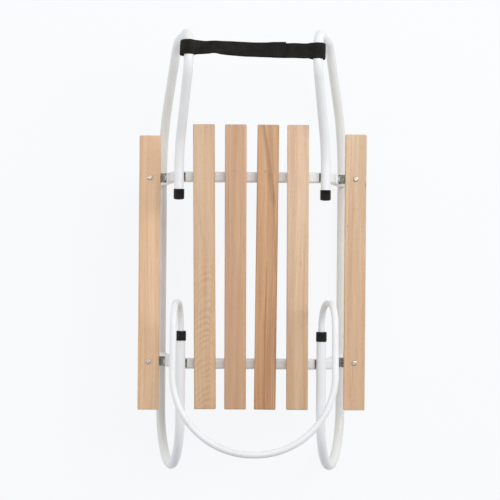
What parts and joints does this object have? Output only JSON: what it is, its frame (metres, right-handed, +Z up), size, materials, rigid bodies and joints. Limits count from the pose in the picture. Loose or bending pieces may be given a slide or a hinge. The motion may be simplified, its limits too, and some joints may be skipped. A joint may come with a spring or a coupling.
{
  "type": "slatted sled",
  "caption": "Small sled with curled white steel tube runners, slatted beech seat and side slats, a plug-in back hoop and a black webbing pull strap.",
  "frame": {"origin": "on the ground under the middle of the sled's length and width", "axes": "+Y forwards, the way the sled travels; +X to the rider's right; +Z up"},
  "size_m": [0.4326, 0.832, 0.381],
  "materials": {
    "powder_coat": "smooth semi-gloss white powder coat",
    "beech_curved_grain": "clear satin lacquer on beech with curved grain",
    "beech_pink": "clear satin lacquer on pinkish beech",
    "beech_dark": "clear satin lacquer on darker streaked beech",
    "beech_fine": "clear satin lacquer on fine straight-grained beech",
    "beech_side": "clear satin lacquer on pale beech",
    "zinc_plate": "zinc plated",
    "fastener_steel": "zinc plated, bright",
    "black_plastic": "moulded matt black",
    "black_webbing": "woven polyester webbing"
  },
  "bodies": {
    "frame": {"left_runner_tube": "powder_coat", "right_runner_tube": "powder_coat", "front_crossbar": "powder_coat", "rear_crossbar": "powder_coat", "seat_slat_1": "beech_curved_grain", "seat_slat_2": "beech_pink", "seat_slat_3": "beech_dark", "seat_slat_4": "beech_fine", "side_slat_left": "beech_side", "side_slat_right": "beech_side", "bracket_front_left": "zinc_plate", "bracket_front_right": "zinc_plate", "bracket_rear_left": "zinc_plate", "bracket_rear_right": "zinc_plate", "bracket_bolts": "fastener_steel", "bracket_nuts": "fastener_steel", "side_slat_screws": "fastener_steel", "side_slat_nuts": "fastener_steel", "seat_slat_screws": "fastener_steel", "front_end_cap_left": "black_plastic", "front_end_cap_right": "black_plastic", "rear_collar_left": "black_plastic", "rear_collar_right": "black_plastic", "pull_strap": "black_webbing"},
    "back_hoop": {"backrest_hoop": "powder_coat"}
  },
  "joints": [
    {"name": "hoop_slide", "type": "slide", "parent": "frame", "child": "back_hoop", "axis": [0, 1, 0], "range_m": [0, 0.08]}
  ]
}
